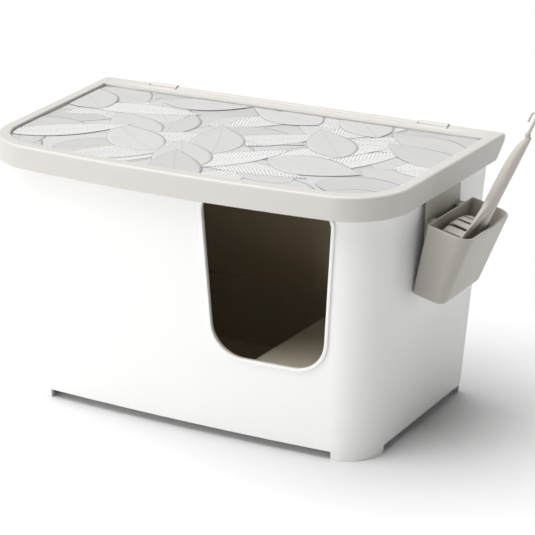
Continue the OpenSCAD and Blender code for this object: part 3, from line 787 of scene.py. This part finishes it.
steel = Finish("pin_steel", Metallic=1.0)
steel.feed(Base_Color=steel.mix(steel.noise(60.0), (0.62, 0.62, 0.63, 1), (0.50, 0.50, 0.51, 1)),
           Roughness=steel.noise(200.0) * 0.15 + 0.22)
steel.bump(steel.noise(1500.0), 0.15, 0.00004)
for side in ("left", "right"):
    eased("hinge_bracket_" + side, "bracket_" + side, warm_grey, "box_body", 0.0004)
    for pin_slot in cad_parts["hinge_pin_" + side].material_slots:
        pin_slot.link = "OBJECT"
        pin_slot.material = steel.material

# ---------------------------------------------------------------------------
# Printed sheet: a thin pale sheet that lies in the lid's recess. Its print is a generic
# pattern of drawn leaves, each a very thin layer over the ones before it.

sheet_low, sheet_z = 0.33302, 0.33362
sheet_rows = [recess_row(0.0024, sheet_low), recess_row(0.0022, 0.3332), recess_row(0.0022, sheet_z - 0.0001),
              recess_row(0.0024, sheet_z)]
sheet_middle = np.zeros_like(sheet_rows[0])
sheet_grid = np.array([sheet_middle + [0, 0, sheet_low]] + sheet_rows + [sheet_middle + [0, 0, sheet_z]])
edge_x, edge_y, _ = recess_row(0.0026, 0.0).T
edge_bearing = np.mod(np.arctan2(edge_y, edge_x), 2 * pi)
edge_order = np.argsort(edge_bearing)
edge_bearing = edge_bearing[edge_order]
edge_reach = np.hypot(edge_x, edge_y)[edge_order]


def kept_in(points):
    """Points outside the sheet's outline, brought in to it along the line to its middle."""
    far = np.hypot(points[..., 0], points[..., 1])
    bearing = np.mod(np.arctan2(points[..., 1], points[..., 0]), 2 * pi)
    limit = np.interp(bearing, edge_bearing, edge_reach, period=2 * pi)
    return points * np.minimum(1.0, limit * 0.999 / np.maximum(far, 1e-9))[..., None]


points_along, points_across = 44, 15
print_thick = 0.0010


def blade(at, heading, length, width, curve, kind, shade):
    """A leaf: its midrib bends by curve along its length, and its half width is
    width / 2 * sin(pi t ** 0.8) ** 0.9. Returns its plan and its drawing coordinates."""
    t = np.linspace(0, 1, points_along)
    turn = heading + curve * (t - 0.5)
    rib = np.array(at) + np.cumsum(joined(np.cos(turn), np.sin(turn)), 0) * length / (points_along - 1)
    side = joined(-np.sin(turn), np.cos(turn))
    half = width / 2 * np.sin(pi * np.clip(t, 0.002, 0.998) ** 0.8) ** 0.9
    across = np.linspace(-1, 1, points_across)
    off_rib = half[:, None] * across
    plan = rib[:, None] + side[:, None] * off_rib[..., None]
    return plan, joined(off_rib, t[:, None] * length, half[:, None] * (1 - np.abs(across)), kind, shade)


rng = np.random.default_rng(11)
leaves = []
for row, y in enumerate(np.arange(-0.150, 0.156, 0.044)):
    for column, x in enumerate(np.arange(-0.280, 0.290, 0.058)):
        at = (x + (row % 2) * 0.034 + rng.uniform(-0.010, 0.010), y + rng.uniform(-0.008, 0.008))
        heading = rng.uniform(-0.5, 0.5) + (2.4 if (column + row) % 3 else 0.35)
        stalk = (at[0] - 0.055 * cos(heading), at[1] - 0.055 * sin(heading))
        if (column + row) % 2 == 0:
            leaves.append(blade(stalk, heading * 0.35, rng.uniform(0.140, 0.165), rng.uniform(0.044, 0.052),
                                rng.uniform(-0.6, 0.6), 1.0, rng.random()))
        else:
            leaves.append(blade(stalk, heading, rng.uniform(0.110, 0.135), rng.uniform(0.060, 0.076),
                                rng.uniform(-0.3, 0.3), 0.0, rng.random()))
layer = print_thick / len(leaves)
bands, drawings = [], []
for height, which in enumerate(rng.permutation(len(leaves))):
    plan, drawn = leaves[which]
    upper = joined(*np.moveaxis(kept_in(plan), -1, 0), sheet_z + 0.00004 + layer * (height + 1))
    lower = upper[:, ::-1] - [0, 0, layer * 0.6]
    bands.append(np.concatenate([upper, lower], 1))
    drawings.append(np.concatenate([drawn, drawn[:, ::-1]], 1))
leaf_points = np.array(bands).reshape(-1, 3)
leaf_starts = np.arange(len(bands))[:, None, None] * points_along * 2 * points_across
leaf_faces = (quads(bands[0], True) + leaf_starts).reshape(-1, 4)
print_mesh = bpy.data.meshes.new("leaf_print")
print_mesh.from_pydata(placed(leaf_points).tolist(), [], leaf_faces.tolist())
# What the ink follows, at every point: distances in millimetres, then the leaf's kind and shade.
drawn_values = np.array(drawings).reshape(-1, 5) * [1000, 1000, 1000, 1, 1]
for column, label in enumerate(("across", "along", "edge", "kind", "shade")):
    kept_value = print_mesh.attributes.new(label, "FLOAT", "POINT")
    kept_value.data.foreach_set("value", drawn_values[:, column].astype(np.float32))
leaf_work = bmesh.new()
leaf_work.from_mesh(print_mesh)
bmesh.ops.recalc_face_normals(leaf_work, faces=leaf_work.faces)
leaf_work.to_mesh(print_mesh)
leaf_work.free()

ink = Finish("leaf_print", Roughness=0.5)


def drawn_value(label):
    """A value kept in the print's mesh."""
    return ink.node("ShaderNodeAttribute", {"attribute_name": label}, {}, "Fac")


def limited(value):
    """The value held between 0 and 1."""
    return ink.node("ShaderNodeClamp", {}, {"Value": value})


def stroke(distance, width):
    """A drawn line: 1 on it, falling to 0 at width over the last third of a millimetre."""
    return limited((width - distance) * 3.0)


across_leaf, along_leaf, from_edge = drawn_value("across"), drawn_value("along"), drawn_value("edge")
hatched, shade = drawn_value("kind"), drawn_value("shade")
off_rib = across_leaf.math("ABSOLUTE", across_leaf)
vein = along_leaf.math("PINGPONG", off_rib * 2.2 + ink.noise(90.0) * 3.0, 1.7)
hatch = along_leaf.math("PINGPONG", along_leaf - off_rib * 0.9 + ink.noise(150.0) * 2.0, 2.7)
outline_ink = stroke(from_edge, 0.70)
rib_ink = stroke(off_rib, 0.38)
vein_ink = stroke(vein, 0.30) * (1.0 - hatched) * 0.45
pale_ink = limited((hatch - 1.35) * 2.0) * hatched
hatch_ink = stroke(hatch, 0.42) * hatched
fill = ink.mix(shade, (0.485, 0.485, 0.48, 1), (0.555, 0.555, 0.55, 1))
fill = ink.mix(pale_ink * 0.65, fill, (0.86, 0.86, 0.85, 1))
fill = ink.mix(hatch_ink * 0.7, fill, (0.33, 0.33, 0.33, 1))
fill = ink.mix(vein_ink, fill, (0.38, 0.38, 0.38, 1))
fill = ink.mix(rib_ink * 0.8, fill, (0.28, 0.28, 0.28, 1))
fill = ink.mix(outline_ink * 0.9, fill, (0.24, 0.24, 0.24, 1))
ink.feed(Base_Color=fill, Roughness=ink.noise(120.0) * 0.1 + 0.42)
leaf_print = bpy.data.objects.new("leaf_print", print_mesh)
print_mesh.materials.append(ink.material)
print_mesh.shade_smooth()
scene.collection.objects.link(leaf_print)
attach(leaf_print, "lid")

sheet_pale = moulded("printed_sheet", (0.54, 0.54, 0.535), (0.51, 0.51, 0.505), 0.45)
sheet = piece("sheet_base", [(placed(sheet_grid), True)], sheet_pale)
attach(sheet, "lid")
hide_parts("lid_printed_sheet")
